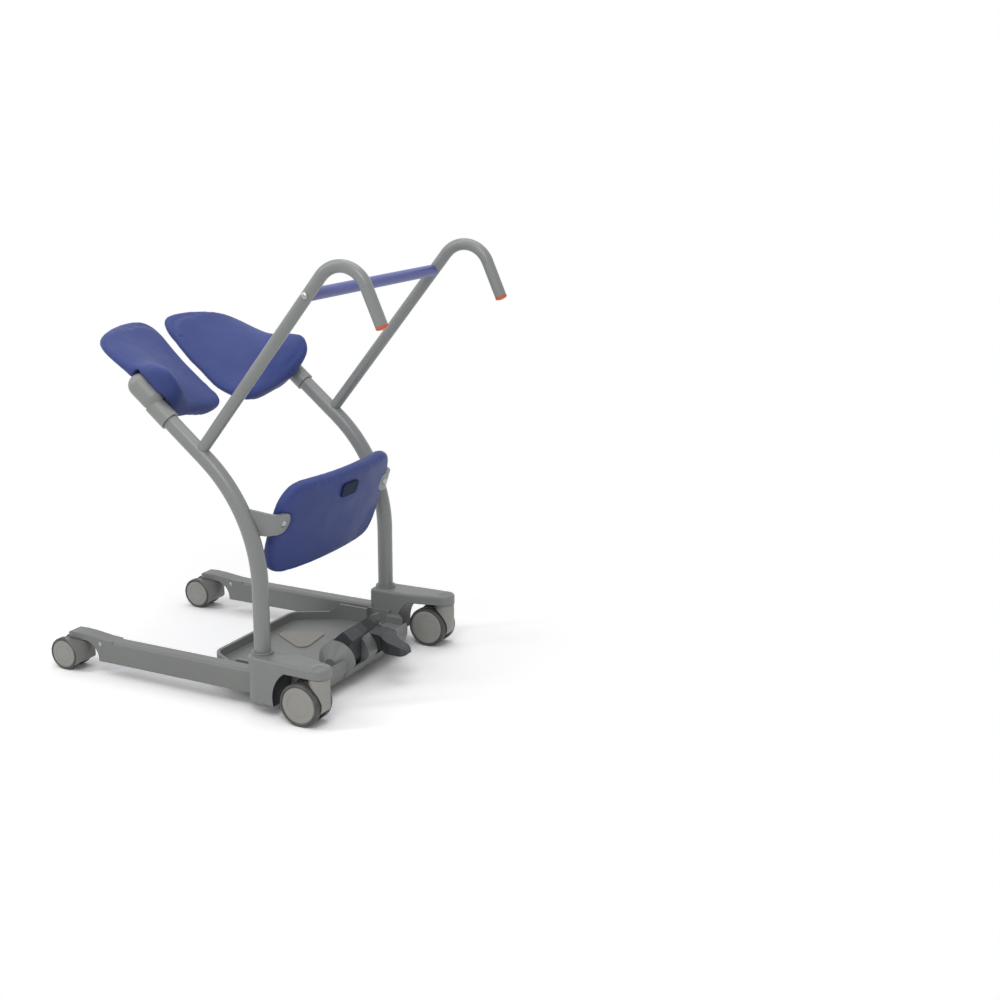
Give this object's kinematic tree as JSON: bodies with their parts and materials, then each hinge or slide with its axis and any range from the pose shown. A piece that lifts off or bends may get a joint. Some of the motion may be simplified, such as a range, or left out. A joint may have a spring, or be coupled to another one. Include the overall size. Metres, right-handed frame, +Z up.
{
  "type": "sit_to_stand_transfer_aid",
  "caption": "Manual sit-to-stand transfer aid with swing seat halves, knee pad, hooked hand rails, spreading legs and twin-wheel casters",
  "frame": {"origin": "middle of the footprint box, on the floor", "axes": "+X toward the front casters and hook ends, +Y to the left as seen from behind, +Z up"},
  "size_m": [0.9554, 0.647, 1.0283],
  "materials": {
    "tube_grey": "grey powder coat, satin",
    "cast_grey": "cast alloy, grey powder coat",
    "arm_grey": "cast alloy, grey powder coat, satin",
    "caster_grey": "moulded nylon, warm grey",
    "tyre": "soft grey rubber",
    "pedal_charcoal": "textured charcoal moulding",
    "pad_blue": "skinned foam, blue, matt",
    "bar_blue": "blue coated bar",
    "cap_orange": "moulded end cap",
    "tread_mat": "ribbed tread",
    "badge_dark": "plain plate, left bare",
    "steel": "plated"
  },
  "bodies": {
    "frame": {"side_block_left": "cast_grey", "side_block_right": "cast_grey", "footplate": "cast_grey", "tread_mat": "tread_mat", "front_beam": "cast_grey", "pedal_hood": "cast_grey", "pedal_shaft": "steel", "upright_left": "tube_grey", "upright_right": "tube_grey", "rail_left": "tube_grey", "rail_right": "tube_grey", "rail_cap_left": "cap_orange", "rail_cap_right": "cap_orange", "crossbar": "bar_blue", "crossbar_bolts": "steel", "knee_bracket_left": "tube_grey", "knee_bracket_right": "tube_grey", "knee_pad": "pad_blue", "knee_screws": "steel", "badge_plate": "badge_dark", "leg_pivot_pins": "steel", "seat_pivot_pins": "steel"},
    "leg_left": {"leg_left": "cast_grey", "tail_screw_left": "steel"},
    "seat_left": {"seat_arm_left": "arm_grey", "seat_pad_left": "pad_blue"},
    "pedal_left": {"pedal_left": "pedal_charcoal"},
    "leg_right": {"leg_right": "cast_grey", "tail_screw_right": "steel"},
    "seat_right": {"seat_arm_right": "arm_grey", "seat_pad_right": "pad_blue"},
    "pedal_right": {"pedal_right": "pedal_charcoal"},
    "caster_front_left": {"caster_body_front_left": "caster_grey", "caster_stem_front_left": "steel", "caster_axle_front_left": "steel"},
    "wheel_outer_front_left": {"wheel_outer_front_left": "caster_grey", "tyre_outer_front_left": "tyre"},
    "wheel_inner_front_left": {"wheel_inner_front_left": "caster_grey", "tyre_inner_front_left": "tyre"},
    "caster_front_right": {"caster_body_front_right": "caster_grey", "caster_stem_front_right": "steel", "caster_axle_front_right": "steel"},
    "wheel_outer_front_right": {"wheel_outer_front_right": "caster_grey", "tyre_outer_front_right": "tyre"},
    "wheel_inner_front_right": {"wheel_inner_front_right": "caster_grey", "tyre_inner_front_right": "tyre"},
    "caster_rear_left": {"caster_body_rear_left": "caster_grey", "caster_stem_rear_left": "steel", "caster_axle_rear_left": "steel"},
    "wheel_outer_rear_left": {"wheel_outer_rear_left": "caster_grey", "tyre_outer_rear_left": "tyre"},
    "wheel_inner_rear_left": {"wheel_inner_rear_left": "caster_grey", "tyre_inner_rear_left": "tyre"},
    "caster_rear_right": {"caster_body_rear_right": "caster_grey", "caster_stem_rear_right": "steel", "caster_axle_rear_right": "steel"},
    "wheel_outer_rear_right": {"wheel_outer_rear_right": "caster_grey", "tyre_outer_rear_right": "tyre"},
    "wheel_inner_rear_right": {"wheel_inner_rear_right": "caster_grey", "tyre_inner_rear_right": "tyre"}
  },
  "joints": [
    {"name": "pedal_right_rock", "type": "hinge", "parent": "frame", "child": "pedal_right", "pos_m": [0.21354, -0.05, 0.066], "axis": [0, 1, 0], "range_deg": [0, 49]},
    {"name": "pedal_left_rock", "type": "hinge", "parent": "frame", "child": "pedal_left", "pos_m": [0.21354, 0.05, 0.066], "axis": [0, 1, 0], "range_deg": [-49, 0]},
    {"name": "leg_left_spread", "type": "hinge", "parent": "frame", "child": "leg_left", "pos_m": [0.13754, 0.262, 0.058], "axis": [0, 0, 1], "range_deg": [-12, 0]},
    {"name": "leg_right_spread", "type": "hinge", "parent": "frame", "child": "leg_right", "pos_m": [0.13754, -0.262, 0.058], "axis": [0, 0, 1], "range_deg": [0, 12]},
    {"name": "seat_left_swing", "type": "hinge", "parent": "frame", "child": "seat_left", "pos_m": [-0.09072, 0.272, 0.64655], "axis": [-0.7771, 0, 0.6293], "range_deg": [0, 100]},
    {"name": "seat_right_swing", "type": "hinge", "parent": "frame", "child": "seat_right", "pos_m": [-0.09072, -0.272, 0.64655], "axis": [0.7771, 0, -0.6293], "range_deg": [0, 100]},
    {"name": "caster_front_left_swivel", "type": "hinge", "parent": "frame", "child": "caster_front_left", "pos_m": [0.29954, 0.29, 0.113], "axis": [0, 0, 1], "continuous": true},
    {"name": "wheel_outer_front_left_roll", "type": "hinge", "parent": "caster_front_left", "child": "wheel_outer_front_left", "pos_m": [0.26354, 0.3125, 0.05], "axis": [0, 1, 0], "continuous": true},
    {"name": "wheel_inner_front_left_roll", "type": "hinge", "parent": "caster_front_left", "child": "wheel_inner_front_left", "pos_m": [0.26354, 0.2675, 0.05], "axis": [0, 1, 0], "continuous": true},
    {"name": "caster_front_right_swivel", "type": "hinge", "parent": "frame", "child": "caster_front_right", "pos_m": [0.29954, -0.29, 0.113], "axis": [0, 0, 1], "continuous": true},
    {"name": "wheel_outer_front_right_roll", "type": "hinge", "parent": "caster_front_right", "child": "wheel_outer_front_right", "pos_m": [0.26354, -0.3125, 0.05], "axis": [0, 1, 0], "continuous": true},
    {"name": "wheel_inner_front_right_roll", "type": "hinge", "parent": "caster_front_right", "child": "wheel_inner_front_right", "pos_m": [0.26354, -0.2675, 0.05], "axis": [0, 1, 0], "continuous": true},
    {"name": "caster_rear_left_swivel", "type": "hinge", "parent": "leg_left", "child": "caster_rear_left", "pos_m": [-0.41146, 0.262, 0.0825], "axis": [0, 0, 1], "continuous": true},
    {"name": "wheel_outer_rear_left_roll", "type": "hinge", "parent": "caster_rear_left", "child": "wheel_outer_rear_left", "pos_m": [-0.43846, 0.283, 0.04], "axis": [0, 1, 0], "continuous": true},
    {"name": "wheel_inner_rear_left_roll", "type": "hinge", "parent": "caster_rear_left", "child": "wheel_inner_rear_left", "pos_m": [-0.43846, 0.241, 0.04], "axis": [0, 1, 0], "continuous": true},
    {"name": "caster_rear_right_swivel", "type": "hinge", "parent": "leg_right", "child": "caster_rear_right", "pos_m": [-0.41146, -0.262, 0.0825], "axis": [0, 0, 1], "continuous": true},
    {"name": "wheel_outer_rear_right_roll", "type": "hinge", "parent": "caster_rear_right", "child": "wheel_outer_rear_right", "pos_m": [-0.43846, -0.283, 0.04], "axis": [0, 1, 0], "continuous": true},
    {"name": "wheel_inner_rear_right_roll", "type": "hinge", "parent": "caster_rear_right", "child": "wheel_inner_rear_right", "pos_m": [-0.43846, -0.241, 0.04], "axis": [0, 1, 0], "continuous": true}
  ],
  "couplings": [
    {"joint": "pedal_left_rock", "follows": "pedal_right_rock", "ratio": -1},
    {"joint": "leg_left_spread", "follows": "pedal_right_rock", "ratio": -0.2449},
    {"joint": "leg_right_spread", "follows": "pedal_right_rock", "ratio": 0.2449}
  ]
}
